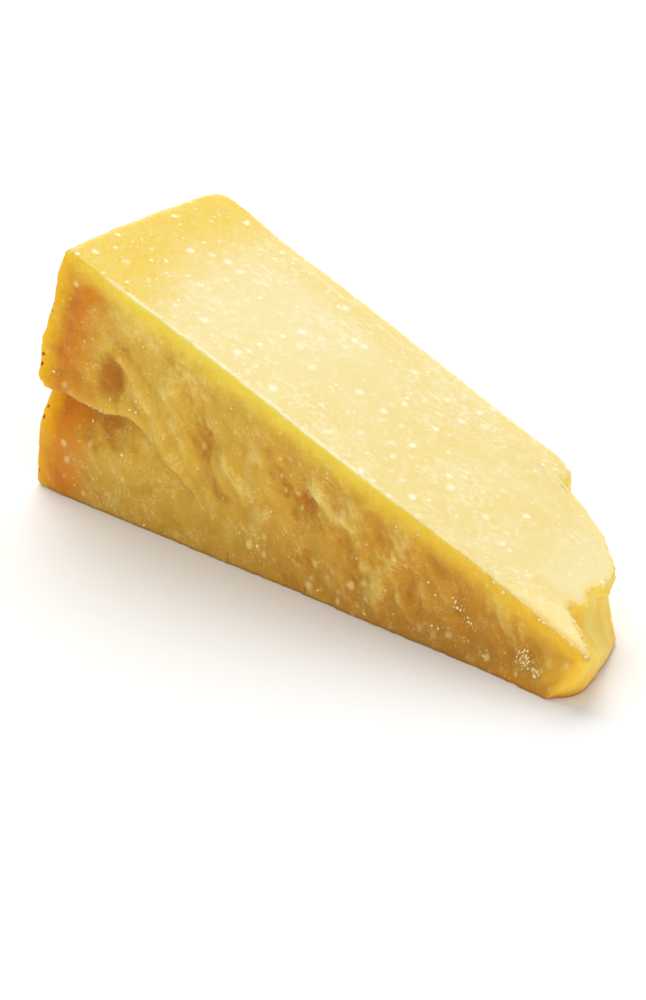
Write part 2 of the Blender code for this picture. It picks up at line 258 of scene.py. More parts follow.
def through(knots, heights, value):
    """A smooth curve through the knots: a cubic in each span, with the two spans' mean slope at a knot."""
    knots, heights = np.asarray(knots, float), np.asarray(heights, float)
    slopes = np.gradient(heights, knots)
    value = np.clip(value, knots[0], knots[-1])
    span = np.clip(np.searchsorted(knots, value) - 1, 0, len(knots) - 2)
    width = knots[span + 1] - knots[span]
    s = (value - knots[span]) / width
    start = (1.0 + 2.0 * s) * (1.0 - s) ** 2 * heights[span] + s * (1.0 - s) ** 2 * width * slopes[span]
    end = s * s * (3.0 - 2.0 * s) * heights[span + 1] + s * s * (s - 1.0) * width * slopes[span + 1]
    return start + end


def noise(seed, *coordinates):
    """Smooth noise from -1 to 1: random values on a repeating lattice one unit apart, eased between them."""
    lattice = np.random.default_rng(seed).uniform(-1.0, 1.0, (LATTICE_CELLS,) * 3)
    points = np.stack(np.broadcast_arrays(*coordinates))
    cell = np.floor(points).astype(int)
    eased = points - cell
    eased = eased**3 * (eased * (eased * 6.0 - 15.0) + 10.0)
    total = 0.0
    for corner in np.ndindex(2, 2, 2):
        index = tuple((cell[axis] + corner[axis]) % LATTICE_CELLS for axis in range(3))
        weight = 1.0
        for axis in range(3):
            weight = weight * (eased[axis] if corner[axis] else 1.0 - eased[axis])
        total = total + weight * lattice[index]
    return total


def layered_noise(seed, size, layers, *coordinates):
    """Noise whose largest bumps are size apart, with layers half as large and half as high on top of it."""
    total = 0.0
    for layer in range(layers):
        scaled = [c * 2.0**layer / size for c in coordinates]
        total = total + 0.5**layer * noise(seed + layer, *scaled)
    return total


def break_relief(x, z, top, seed, dip):
    """How far a break stands out of its plane: hackles along the dip, in patches, with lumps and grain.

    It dies down towards the two cuts, whose edges are nearly straight, and where the slice is thin.
    """
    along = x * np.cos(dip) - z * np.sin(dip)
    across = x * np.sin(dip) + z * np.cos(dip)
    across = across + HACKLE_BEND * noise(seed + 20, x / HACKLE_BEND_SIZE, z / HACKLE_BEND_SIZE, 0.0)
    hackle = 1.0 - 2.0 * np.abs(noise(seed, along / HACKLE_LENGTH, across / HACKLE_WIDTH, 0.5))
    patch = smooth_step(-0.5, 0.5, noise(seed + 30, x / PATCH_SIZE, z / PATCH_SIZE, 2.0))
    patch = LEAST_PATCH + (1.0 - LEAST_PATCH) * patch
    lump = layered_noise(seed + 3, LUMP_SIZE, 3, x, z, 0.0)
    grain = layered_noise(seed + 9, GRAIN_SIZE, 3, x, z, 0.0)
    strength = smooth_step(0.0, CALM_UNDER_TOP, top - z) * smooth_step(-1.5, CALM_OVER_FOOT, z)
    thick = smooth_step(0.0, FULL_RELIEF_THICKNESS, top)
    strength = strength * (LEAST_RELIEF + (1.0 - LEAST_RELIEF) * thick)
    relief = HACKLE_HEIGHT * (hackle - HACKLE_LEVEL) * patch + LUMP_HEIGHT * lump
    rough = smooth_step(-0.1, 0.5, noise(seed + 40, along / (2.0 * ROUGH_PATCH), across / ROUGH_PATCH, 0.0))
    relief = relief + ROUGH_HEIGHT * rough * layered_noise(seed + 41, ROUGH_SIZE, 3, x, z, 0.0)
    return relief * strength + GRAIN_HEIGHT * grain


def hollows(places, x, z):
    """Depth of the smooth hollows at these places, each a bell with a wandering outline."""
    wobble = HOLLOW_WANDER * noise(HOLLOW_SEED, x / HOLLOW_WANDER_SIZE, z / HOLLOW_WANDER_SIZE, 0.0)
    depth = 0.0
    for centre_x, centre_z, half_width, half_height, deep in places:
        across, up = x - centre_x + wobble, z - centre_z - wobble
        depth = depth + deep * bell(across, half_width) * bell(up, half_height)
    return depth


def ribs(places, x, z):
    """Height of the rounded ribs that run between pairs of points, each a bell across its length."""
    uneven = 1.0 + RIB_UNEVEN * noise(RIB_SEED, x / RIB_UNEVEN_SIZE, z / RIB_UNEVEN_SIZE, 0.0)
    total = 0.0
    for start_x, start_z, end_x, end_z, half_width, rise in places:
        run_x, run_z = end_x - start_x, end_z - start_z
        share = ((x - start_x) * run_x + (z - start_z) * run_z) / (run_x**2 + run_z**2)
        nearest = np.clip(share, 0.0, 1.0)
        away = np.hypot(x - start_x - nearest * run_x, z - start_z - nearest * run_z)
        total = total + rise * uneven * bell(away, half_width)
    return total


def front_plane(x, height):
    """y of the plane that the front break lies about, from its foot to its crest."""
    foot, crest = through(FOOT_X, FOOT_Y, x), through(CREST_X, CREST_Y, x)
    return foot + (crest - foot) * height


def front_step(x, z):
    """How far the slab below the step stands back, less the lip above it, and the share of relief kept."""
    wander = STEP_WANDER * noise(STEP_SEED, x / STEP_WANDER_SIZE, 0.0, 0.0)
    below = through(STEP_X, STEP_Z, x) + wander - z
    depth = through(STEP_X, STEP_DEPTH, x)
    step = depth * smooth_step(-0.2, STEP_DROP, below) * (1.0 - smooth_step(0.0, STEP_FADE, below))
    calm = 1.0 - 0.6 * smooth_step(0.0, STEP_DEPTH[0], depth) * smooth_step(0.0, 6.0, below)
    return step - LIP_SHARE * depth * bell(below + LIP_RISE, LIP_HALF_WIDTH), calm


def front_break(x, z, top, height):
    """y of the front break: plane, step, hollows, ribs and relief. Also the relief that its finish sees, with
    painted shade under the step and the painted shading of soft hollows and swells.
    """
    step, calm = front_step(x, z)
    relief = break_relief(x, z, top, FRONT_SEED, FRONT_DIP) * calm
    relief = relief + ribs(FRONT_RIBS, x, z) - hollows(FRONT_HOLLOWS, x, z)
    # The relief plus painted shade under the step and the painted shading of soft hollows and swells.
    finish = relief - SHADED_STEP * np.maximum(step, 0.0) - hollows(FRONT_PAINTED_SHADING, x, z)
    return front_plane(x, height) + step - relief, finish


def back_break(x, z, top):
    """y of the back break, which nears the front one towards the thin end, with hollows, ribs and relief."""
    relief = break_relief(x, z, top, BACK_SEED, BACK_DIP)
    relief = relief + ribs(BACK_RIBS, x, z) - hollows(BACK_HOLLOWS, x, z)
    return through(BACK_X, BACK_Y, x) + relief, relief


def dent_depth(y, z):
    """Depth of the rind's pin-dots: bells on a square lattice, kept where two crossing waves add up."""
    off_y = (y - DOT_START_Y + 0.5 * DOT_PITCH) % DOT_PITCH - 0.5 * DOT_PITCH
    off_z = (z - DOT_START_Z + 0.5 * DOT_PITCH) % DOT_PITCH - 0.5 * DOT_PITCH
    wave_y = np.cos(2.0 * np.pi * (y - BAND_MIDDLE_Y) / BAND_PERIOD_Y)
    wave_z = np.cos(2.0 * np.pi * (z - BAND_MIDDLE_Z) / BAND_PERIOD_Z)
    kept = smooth_step(BAND_LEVEL - 0.1, BAND_LEVEL + 0.1, wave_z + BAND_SHARE_Y * wave_y)
    return DOT_DEPTH * kept * bell(np.hypot(off_y, off_z), DOT_RADIUS)


def rind(y, height):
    """x of the rind: an arc of the wheel that swells unevenly and bows a little across the width."""
    angle = height * WEDGE_ANGLE
    swell = through(RIND_HEIGHT, RIND_SWELL, height) - RIND_BOW * (y - 0.5 * WIDTH) ** 2
    bumps = RIND_BUMP * layered_noise(RIND_SEED, RIND_BUMP_SIZE, 3, y, angle * WHEEL_RADIUS, 0.0)
    return WHEEL_RADIUS - (WHEEL_RADIUS + swell + bumps) * np.cos(angle)


def broken_end(y, height):
    """x of the thin end: from the foot out to a ridge, back in over a scoop, then up a short crumbly wall."""
    foot, ridge, shelf, crest = (
        through(END_Y, knots, y) for knots in (END_FOOT, END_RIDGE, END_SHELF, END_CREST)
    )
    ridge_height = through(END_Y, RIDGE_HEIGHT, y)
    shelf_height = through(END_Y, SHELF_HEIGHT, y)
    below = np.clip(height / ridge_height, 0.0, 1.0)
    scooped = np.clip((shelf_height - height) / (shelf_height - ridge_height), 0.0, 1.0)
    wall = smooth_step(shelf_height, 0.5 + 0.5 * shelf_height, height)
    undercut = foot + (ridge - foot) * below**UNDERCUT_POWER
    scoop = shelf + (ridge - shelf) * scooped**SCOOP_POWER
    end = np.where(height < ridge_height, undercut, scoop) + (crest - shelf) * wall
    crumbly = 0.6 + WALL_CRUMBLY * wall + 0.5 * smooth_step(30.0, 38.0, y)
    thickness = (WHEEL_RADIUS - end) * TOP_SLOPE
    return end + END_CRUMB * crumbly * layered_noise(END_SEED, END_CRUMB_SIZE, 4, y, height * thickness, 0.0)


def edge_rounding(x, y, z, top, from_rind, to_end):
    """How far points near an edge of the block move inwards, onto a quarter circle whose radius wanders."""
    softer = 1.0 - smooth_step(1.0, RIND_ROUND_REACH, from_rind)
    radius = EDGE_ROUND * (1.0 + ROUND_UNEVEN * layered_noise(EDGE_SEED, ROUND_UNEVEN_SIZE, 2, x, y, z))
    chips = smooth_step(0.15, 0.75, layered_noise(CHIP_SEED, CHIP_SIZE, 2, x, y, z))
    chipped = LEAST_CHIPS + (1.0 - LEAST_CHIPS) * smooth_step(90.0, 165.0, x)
    radius = radius + CHIP_DEPTH * chips * chipped * (1.0 - softer)
    nick = RIND_NICK * layered_noise(EDGE_SEED + 9, RIND_NICK_SIZE, 2, x, y, z)
    radius = radius + (RIND_ROUND - EDGE_ROUND + nick) * softer
    raised = smooth_step(0.25, 0.6, z / top)
    radius = radius * (1.0 - FOOT_SHARPER * (1.0 - raised) * (1.0 - softer))
    radius = radius + TIP_ROUND * raised * smooth_step(135.0, 168.0, x) * (1.0 - smooth_step(4.0, 9.0, y))
    sides = ((from_rind, to_end), (y, WIDTH - y), (z, top - z))
    past = [np.maximum(radius - near, 0.0) - np.maximum(radius - far, 0.0) for near, far in sides]
    past = np.stack(past, axis=-1)
    reach = np.maximum(np.linalg.norm(past, axis=-1), radius)
    return past * (1.0 - radius / reach)[..., None]


def chunk_form(length, width, height):
    """Points of the chunk for shares of a block's length, width and height, and what its finish needs there.

    The ends' x depends on y and the breaks' y on x, so the two are worked out in turn until they settle.
    """
    y = width * WIDTH
    for _ in range(SETTLING_ROUNDS):
        start, end = rind(y, height), broken_end(y, height)
        x = start + (end - start) * length
        z = (WHEEL_RADIUS - x) * np.tan(height * WEDGE_ANGLE)
        top = (WHEEL_RADIUS - x) * TOP_SLOPE
        front, front_relief = front_break(x, z, top, height)
        back, back_relief = back_break(x, z, top)
        y = front + (back - front) * width
    flat_y = width * WIDTH
    from_rind, to_end = (end - start) * length, (end - start) * (1.0 - length)
    inwards = edge_rounding(x, flat_y, z, top, from_rind, to_end)
    inwards[:, 0] += np.where(length == 0.0, dent_depth(flat_y, z), 0.0)
    sag = BACK_SAG * (1.0 - smooth_step(0.0, BACK_SAG_REACH, WIDTH - flat_y))
    wave = TOP_WAVE * noise(TOP_SEED, x / TOP_WAVE_SIZE, y / TOP_WAVE_SIZE, 0.0)
    points = np.stack([x, y, z - (sag + wave) * height**TOP_POWER], axis=-1) + inwards
    off_edges = (np.abs(length - 0.5) < 0.5) & (np.abs(width - 0.5) < 0.5)
    return points, {
        "from_rind": from_rind,
        "across": flat_y - from_rind,
        "relief": np.where(width == 0.0, front_relief, 0.0) + np.where(width == 1.0, back_relief, 0.0),
        "cut": (height == 1.0) | ((height == 0.0) & off_edges),
        "to_end": np.minimum(to_end, END_REACH),
        "edge": np.minimum(flat_y, np.minimum(WIDTH - flat_y, to_end)) + np.minimum(top - z, TOP_REACH),
    }


def gathered(share, pull):
    """Shares from 0 to 1, drawn closer together near both ends."""
    return share - pull * np.sin(2.0 * np.pi * share) / (2.0 * np.pi)


def block_surface(cells):
    """A block's six sides, each a grid over two of its three axes: shares of the axes, and four-sided faces.

    A grid's corners are numbered by their place in the block, so grids that meet share their corners.
    """
    cells = np.array(cells)
    strides = np.array([(cells[1] + 1) * (cells[2] + 1), cells[2] + 1, 1])
    faces = []
    for axis in range(3):
        across, up = (axis + 1) % 3, (axis + 2) % 3
        row, column = np.meshgrid(np.arange(cells[across]), np.arange(cells[up]), indexing="ij")
        corner = row * strides[across] + column * strides[up]
        steps = (0, strides[across], strides[across] + strides[up], strides[up])
        quads = np.stack([corner + step for step in steps], axis=-1).reshape(-1, 4)
        faces.append(quads[:, ::-1])
        faces.append(quads + cells[axis] * strides[axis])
    used, faces = np.unique(np.concatenate(faces), return_inverse=True)
    places = used[:, None] // strides % (cells + 1)
    return places / cells, faces.reshape(-1, 4)


def mesh_object(name, points, faces, material):
    """A smooth mesh object from points in chunk coordinates and four-sided faces, riding on the frame."""
    mesh = bpy.data.meshes.new(name)
    mesh.from_pydata((points - ORIGIN) * MM, [], faces)
    mesh.materials.append(material)
    mesh.shade_smooth()
    made = bpy.data.objects.new(name, mesh)
    bpy.context.scene.collection.objects.link(made)
    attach(made, "root")
    return made


class Field:
    """A number, colour or vector that varies over a surface: an output socket, with sums as operators."""

    def __init__(self, tree, socket):
        self.tree = tree
        self.socket = socket

    def node(self, kind, settings, sockets, output=0):
        """Adds a node: its settings first, then each socket's value or link. Gives one of its outputs."""
        made = self.tree.nodes.new("ShaderNode" + kind)
        for setting, value in settings.items():
            setattr(made, setting, value)
        for key, value in sockets.items():
            feed(made, key, value)
        return Field(self.tree, made.outputs[output])

    def math(self, operation, *values):
        return self.node("Math", {"operation": operation}, dict(enumerate(values)))

    def __add__(self, other):
        return self.math("ADD", self, other)

    def __radd__(self, other):
        return self.math("ADD", other, self)

    def __sub__(self, other):
        return self.math("SUBTRACT", self, other)

    def __rsub__(self, other):
        return self.math("SUBTRACT", other, self)

    def __mul__(self, other):
        return self.math("MULTIPLY", self, other)

    def __rmul__(self, other):
        return self.math("MULTIPLY", other, self)

    def __truediv__(self, other):
        return self.math("DIVIDE", self, other)

    def __pow__(self, power):
        return self.math("POWER", self, power)

    def __abs__(self):
        return self.math("ABSOLUTE", self)

    def most(self, other):
        return self.math("MAXIMUM", self, other)

    def rise(self, low, high):
        """0 below low and 1 above high, smooth between them."""
        sockets = {"Value": self, "From Min": low, "From Max": high}
        return self.node("MapRange", {"interpolation_type": "SMOOTHSTEP"}, sockets)

    def fall(self, low, high):
        """1 below low and 0 above high, smooth between them."""
        return 1.0 - self.rise(low, high)

    def colour(self, values):
        """A plain colour in the same tree, from red, green and blue."""
        plain = self.node("RGB", {}, {})
        plain.socket.default_value = (*values, 1.0)
        return plain

    def tint(self, other, share):
        """This colour mixed with another, a field or red, green and blue, by a share from 0 to 1."""
        other = other if isinstance(other, Field) else (*other, 1.0)
        return self.node("Mix", {"data_type": "RGBA"}, {0: share, 6: self, 7: other}, 2)

    def vector(self, operation, other, output=0):
        return self.node("VectorMath", {"operation": operation}, {0: self, 1: other}, output)

    def noise(self, size, detail, stretch=(1.0, 1.0, 1.0), turn=(0.0, 0.0, 0.0), start=(0.0, 0.0, 0.0)):
        """Noise from 0 to 1 with bumps about size long, drawn out by stretch along axes that are turned."""
        scale = [size * s for s in stretch]
        sockets = {"Vector": self, "Location": start, "Rotation": turn, "Scale": scale}
        place = self.node("Mapping", {"vector_type": "TEXTURE"}, sockets)
        return self.node("TexNoise", {}, {"Vector": place, "Scale": 1.0, "Detail": detail, "Roughness": 0.6})

    def specks(self, spacing, smallest, largest, share, uneven, start=(0.0, 0.0, 0.0)):
        """Little balls scattered in space, cut by the surface: 1 inside one, with a soft edge.

        Each cell of a random pattern, spacing across, holds a ball with a radius between smallest and largest
        and a strength of its own, or none: only this share of the cells has one. Uneven, a field about 0,
        bends their outlines.
        """
        place = self.node("Mapping", {}, {"Vector": self, "Location": start, "Scale": [1.0 / spacing] * 3})
        settings, sockets = {"feature": "F1"}, {"Vector": place, "Scale": 1.0, "Randomness": 1.0}
        away = self.node("TexVoronoi", settings, sockets) * spacing
        cell = self.node("TexVoronoi", settings, sockets, "Color")
        draws = [self.node("SeparateColor", {}, {0: cell}, channel) for channel in range(3)]
        present = draws[0].math("LESS_THAN", draws[0], share)
        radius = smallest + (largest - smallest) * (draws[1] ** 2.0)
        strength = 0.35 + 0.65 * draws[2]
        return (away / radius + uneven).fall(0.35, 1.1) * present * strength


def feed(node, key, value):
    """Links a field to one of a node's input sockets, or sets the socket to a plain value."""
    if isinstance(value, Field):
        value.tree.links.new(value.socket, node.inputs[key])
    else:
        node.inputs[key].default_value = value


def new_material(name):
    """A material with one Principled shader: the material, a field of Object coordinates and the shader."""
    material = bpy.data.materials.new(name)
    material.use_nodes = True
    tree = material.node_tree
    shader = tree.nodes["Principled BSDF"]
    coordinates = Field(tree, tree.nodes.new("ShaderNodeTexCoord").outputs["Object"])
    return material, coordinates, shader


def feed_constants(shader, look, light_share):
    """What is the same all over the cheese: how deep light goes in, and its waxy gloss."""
    feed(shader, "Subsurface Weight", light_share)
    feed(shader, "Subsurface Radius", look.light_depth)
    feed(shader, "Subsurface Scale", look.light_reach)
    feed(shader, "Specular IOR Level", 0.2)
    feed(shader, "IOR", 1.45)


def wrapped(value, start, period):
    """How far a field is from the nearest of the marks that start there and lie a period apart."""
    shifted = value - (start - 0.5 * period)
    return abs(shifted.math("FLOORED_MODULO", shifted, period) - 0.5 * period)


def dot_field(across, z):
    """The rind's pin-dots as a field: 1 inside a dot, on the same lattice and bands as the dents."""
    off_y, off_z = wrapped(across, DOT_START_Y, DOT_PITCH), wrapped(z, DOT_START_Z, DOT_PITCH)
    away = (off_y * off_y + off_z * off_z) ** 0.5
    turn_y = (across - BAND_MIDDLE_Y) * (2.0 * np.pi / BAND_PERIOD_Y)
    turn_z = (z - BAND_MIDDLE_Z) * (2.0 * np.pi / BAND_PERIOD_Z)
    wave = turn_z.math("COSINE", turn_z) + BAND_SHARE_Y * turn_y.math("COSINE", turn_y)
    return away.fall(0.7 * DOT_RADIUS, 1.3 * DOT_RADIUS) * wave.rise(BAND_LEVEL - 0.1, BAND_LEVEL + 0.1)


class CheeseFields:
    """What the cheese's colours are made from: chunk coordinates, the mesh's attributes, noises and zones,
    among them painted glow and shade.
    """

    def __init__(self, coordinates):
        mm = coordinates.node("VectorMath", {"operation": "SCALE"}, {0: coordinates, "Scale": 1.0 / MM})
        self.place = place = mm.vector("ADD", tuple(ORIGIN))
        self.x, self.y, self.z = (place.node("SeparateXYZ", {}, {0: place}, axis) for axis in range(3))
        self.from_rind, self.across, self.relief, self.flat, self.to_end, self.edge = (
            place.node("Attribute", {"attribute_name": name}, {}, "Fac")
            for name in ("from_rind", "across", "relief", "cut", "to_end", "edge")
        )

        self.mottle = place.noise(9.0, 3.0)
        self.blotch = place.noise(4.0, 3.0, start=(27.0, 13.0, 5.0))
        self.patch = place.noise(14.0, 2.0, start=(5.0, 31.0, 12.0))
        self.grain = place.noise(1.0, 4.0, start=(2.0, 9.0, 4.0))
        self.dust = place.noise(0.45, 2.0, start=(5.0, 5.0, 2.0))
        along_dip = (0.0, FRONT_DIP, 0.0)
        self.streak = place.noise(5.2, 2.5, (2.1, 1.0, 1.0), along_dip, (11.0, 0.0, 2.0))
        self.lines = abs(place.noise(2.4, 1.5, (2.4, 1.0, 1.0), along_dip, (3.0, 1.0, 8.0)) - 0.5)

        self.wander = wander = self.blotch - 0.5
        far_wander = self.patch - 0.5
        self.at_front = self.y.fall(20.0, 24.0)
        self.end = (self.to_end + wander * 3.0).fall(0.6, 3.2)
        # Paler or browner: the relief, with its painted shade under the step and in soft hollows, and random
        # streaks and patches.
        self.lift = self.relief * 0.6 + (self.streak - 0.5) * 5.2 + far_wander * 2.4 + wander * 0.8
        # Painted shade in the pit, the front break's first hollow.
        pit_x, pit_z, pit_half_width, pit_half_height, _ = FRONT_HOLLOWS[0]
        off_x, off_z = (self.x - pit_x) / pit_half_width, (self.z - pit_z) / pit_half_height
        self.pit_shade = (off_x * off_x + off_z * off_z + wander * 0.9).fall(0.0, 1.5) * self.at_front
        # Painted glow: yellow under the top's edge and near the thin end, where light comes through the thin
        # cheese.
        under_top = (WHEEL_RADIUS - self.x) * TOP_SLOPE - self.z
        near_end = (self.to_end + wander * 6.0).fall(1.0, 13.0) * (self.z + wander * 3.0).rise(0.5, 6.0)
        self.painted_glow = (under_top + wander * 4.0).fall(1.5, 8.0).most(near_end * 0.8)
        under_rind = (self.from_rind + wander * 9.0 + far_wander * 14.0).fall(9.0, 22.5)
        self.orange = under_rind * (1.0 - 0.8 * self.painted_glow)


def scoop_colour(here, look):
    """The thin end's scoop: golden in patches and near the front, pale in the notch, and painted shade,
    orange, at the foot.
    """
    y, z, wander = here.y, here.z, here.wander
    scoop = here.place.colour(look.end)
    scoop = scoop.tint(look.tip, (here.streak * 0.5 + here.blotch * 0.5).fall(0.40, 0.56) * 0.6)
    scoop = scoop.tint(look.tip, (y + wander * 3.0).fall(6.5, 12.0) * 0.6)
    scoop = scoop.tint(look.pale, y.rise(39.0, 43.0) * z.rise(8.0, 18.0) * 0.7)
    # Painted shade: orange towards the foot of the undercut end.
    return scoop.tint(look.orange, (z + wander * 2.0).fall(0.2, 3.2) * 0.7)


def break_colour(here, look):
    """The breaks: paler on what stands out, browner in hollows and low down, partly painted light and shade,
    and amber towards the thin end.

    They have a painted glow under the top's edge, are orange with browner patches under the rind, and have a
    painted lit rim, golden, right at it.
    """
    x, z, wander = here.x, here.z, here.wander
    amber = (x + (here.mottle - 0.5) * 60.0).rise(45.0, 125.0) * (0.78 + 0.17 * x.rise(130.0, 158.0))
    # The break's own colour is darker and deeper yellow than the cuts': partly painted shade.
    broken = here.place.colour(look.broken).tint(look.amber, amber)
    # Painted shade and browner tone where relief and streaks are low; painted light and paler tone where they
    # are high.
    broken = broken.tint(look.brown_and_shade, here.lift.fall(-2.1, -0.1) * 0.85)
    broken = broken.tint(look.rib, here.lift.rise(0.0, 1.4) * 0.85)
    # Painted shade: the breaks darker towards the underside.
    low = (z + wander * 9.0).fall(-2.0, 24.0 - 6.0 * x.rise(60.0, 120.0))
    broken = broken.tint(look.foot, low * (0.45 + 0.35 * x.rise(80.0, 140.0)))
    # Painted shade in the pit.
    broken = broken.tint(look.brown_and_shade, here.pit_shade * 0.95)
    # Painted glow under the top's edge, more golden towards the thin end.
    lit = here.place.colour(look.painted_glow).tint(look.tip, x.rise(80.0, 165.0) * 0.75)
    broken = broken.tint(lit, here.painted_glow * 0.9).tint(scoop_colour(here, look), here.end * 0.85)
    under_rind = here.place.colour(look.orange)
    russet = (here.blotch * 0.6 + here.streak * 0.4).rise(0.42, 0.62)
    under_rind = under_rind.tint(look.russet, russet * 0.7)
    broken = broken.tint(under_rind, here.orange * 0.95)
    # Painted light: a golden lit rim right at the rind.
    lit_rim = (here.from_rind + wander * 4.0).fall(1.0, 8.0)
    return broken.tint(look.lit_rim, lit_rim * (0.5 + 0.4 * z.rise(8.0, 24.0)))


def grained(broken, here, look):
    """The breaks' colour with pale grains, crumbs and thin lines in patches, cracks, painted shade in amber
    at the thin end's foot and a painted contact shadow, brown, along the foot.
    """
    x, z, grain, dust = here.x, here.z, here.grain, here.dust
    strewn = (here.blotch * 0.5 + here.patch * 0.5).rise(0.47, 0.58)
    plain = (1.0 - 0.7 * here.painted_glow) * (1.0 - 0.75 * here.orange) * (1.0 - 0.8 * here.pit_shade)
    plain = plain * (1.0 - 0.55 * x.rise(135.0, 160.0))
    crumbly = (0.25 + 0.75 * here.lift.rise(-0.4, 1.2)) * (1.0 - 0.5 * here.end) * plain
    broken = broken.tint(look.pale, grain.rise(0.48, 0.72) * crumbly * (0.3 + 0.3 * strewn))
    broken = broken.tint(look.amber, grain.fall(0.34, 0.50) * plain * 0.25)
    crumbs = dust.rise(0.62, 0.70) * (0.15 + 0.75 * strewn)
    broken = broken.tint(look.pale, crumbs * (0.2 + 0.6 * plain))
    for crack_x, crack_top in CRACKS:
        crack = abs(x - crack_x + (grain - 0.5) * 0.8).fall(0.1, 0.5)
        crack = crack * z.fall(0.7 * crack_top, 1.2 * crack_top) * here.at_front
        broken = broken.tint(look.foot, crack * 0.95)
    pale_lines = here.lines.fall(0.0, 0.03) * dust.rise(0.48, 0.58) * (0.3 + 0.7 * strewn)
    broken = broken.tint(look.pale, pale_lines * plain * 0.5)
    # Painted shade: amber at the foot of the thin end.
    tip_foot_shade = (z + here.wander * 3.0).fall(0.5, 5.0) * x.rise(140.0, 158.0) * (1.0 - here.end)
    broken = broken.tint(look.amber, tip_foot_shade * 0.9)
    # Painted contact shadow: a brown line along the foot.
    return broken.tint(look.foot, z.fall(0.2, 1.1) * 0.7)


def scratched(cream, here, look):
    """The cuts' colour with a fine mottling and, in patches, two sets of scratches along the knife's path."""
    place = here.place
    scratches = place.noise(0.42, 2.0, (16.0, 1.0, 16.0), (0.0, 0.0, -0.06)).rise(0.56, 0.74)
    others = place.noise(0.36, 2.0, (11.0, 1.0, 11.0), (0.0, 0.0, 0.22)).rise(0.60, 0.76)
    scuffed = place.noise(17.0, 3.0, start=(4.0, 1.0, 0.0)).rise(0.44, 0.60)
    fine = place.noise(1.9, 3.0, start=(8.0, 2.0, 6.0))
    cream = cream.tint(look.white, fine.rise(0.5, 0.68) * (0.3 + 0.7 * scuffed) * 0.34)
    cream = cream.tint(look.band, fine.fall(0.32, 0.46) * 0.06)
    return cream.tint(look.white, scratches.most(others) * (0.15 + 0.85 * scuffed) * 0.42)


def cut_colour(here, look):
    """The cuts: cream with pale haze and a painted sheen across the middle, scratches, a grainy deeper band
    along the rind and one long knife mark.
    """
    x, y, wander, mottle = here.x, here.y, here.wander, here.mottle
    cream = here.place.colour(look.cut).tint(look.cut_deep, mottle.rise(0.45, 0.75) * 0.4)
    cream = cream.tint(look.haze_and_sheen, (here.patch * 0.5 + here.blotch * 0.5).rise(0.44, 0.62) * 0.45)
    inner = (0.3 + 0.7 * y.rise(3.0, 22.0)) * (1.0 - 0.8 * y.rise(38.0, 51.0))
    # Painted sheen: a pale veil across the middle of the top.
    middle_sheen = x.rise(20.0, 46.0) * (x + (mottle - 0.5) * 30.0).fall(62.0, 104.0)
    cream = cream.tint(look.haze_and_sheen, middle_sheen * inner * 0.5)
    cream = cream.tint(look.haze_and_sheen, x.rise(138.0, 158.0) * y.rise(10.0, 18.0) * 0.8)
    cream = cream.tint(look.fleck, x.rise(146.0, 160.0) * y.fall(6.0, 12.0) * 0.75)
    cream = cream.tint(look.cut_deep, y.rise(40.0, 53.0) * x.fall(62.0, 92.0) * 0.7)
    cream = scratched(cream, here, look)
    into_band = here.from_rind + wander * 14.0 + (mottle - 0.5) * 8.0 - 9.0 * y.fall(0.0, 30.0)
    grainy = (here.grain * 0.6 + here.dust * 0.2 + here.blotch * 0.2).rise(0.40, 0.58)
    cream = cream.tint(look.band, into_band.fall(8.0, 29.0) * (0.6 + 0.4 * grainy))
    mark_y = 51.7 - 0.048 * (x - 41.0)
    mark = abs(y - mark_y - wander * 1.2).fall(0.1, 0.5) * x.rise(36.0, 50.0) * x.fall(84.0, 104.0)
    return cream.tint(look.white, mark * mottle.rise(0.35, 0.6) * 0.3)


def skin_colour(here, look):
    """The rind's skin: natural golden brown, with darker, russet and paler patches."""
    blotch, grain = here.blotch, here.grain
    skin = here.place.colour(look.rind)
    skin = skin.tint(look.rind_dark, (here.mottle + blotch * 0.5).rise(0.60, 0.95) * 0.8)
    skin = skin.tint(look.russet, (grain * 0.5 + blotch * 0.5).rise(0.48, 0.66) * 0.4)
    return skin.tint(look.rib, (grain * 0.6 + here.patch * 0.4).rise(0.52, 0.66) * 0.35)


def crystal_field(here):
    """The crystals as a field, 1 inside one: two sizes scattered, and the largest in places of their own."""
    uneven = (here.grain - 0.5) * 1.2
    crystals = here.place.specks(3.7, 0.5, 1.45, 0.85, uneven)
    crystals = crystals.most(here.place.specks(1.7, 0.16, 0.45, 0.6, uneven, (3.0, 5.0, 8.0)))
    for *centre, radius in CRYSTALS:
        away = here.place.vector("DISTANCE", centre, "Value")
        crystals = crystals.most((away / radius + uneven).fall(0.25, 1.15))
    return crystals


def crumble_and_highlight_field(here):
    """The white crumbly edge along the cuts as a field, partly crumbs and partly a painted highlight where
    the rounded edge catches the light, thinner towards the thin end.
    """
    crumble_and_highlight = (here.edge + (here.grain - 0.5) * 2.4 + here.wander * 1.2).fall(0.5, 1.25)
    thinner = (1.0 - 0.6 * here.x.rise(95.0, 125.0)).most(here.blotch.rise(0.5, 0.6) * 0.9)
    return crumble_and_highlight * here.x.rise(19.0, 28.0) * thinner * (1.0 - 0.75 * here.end)


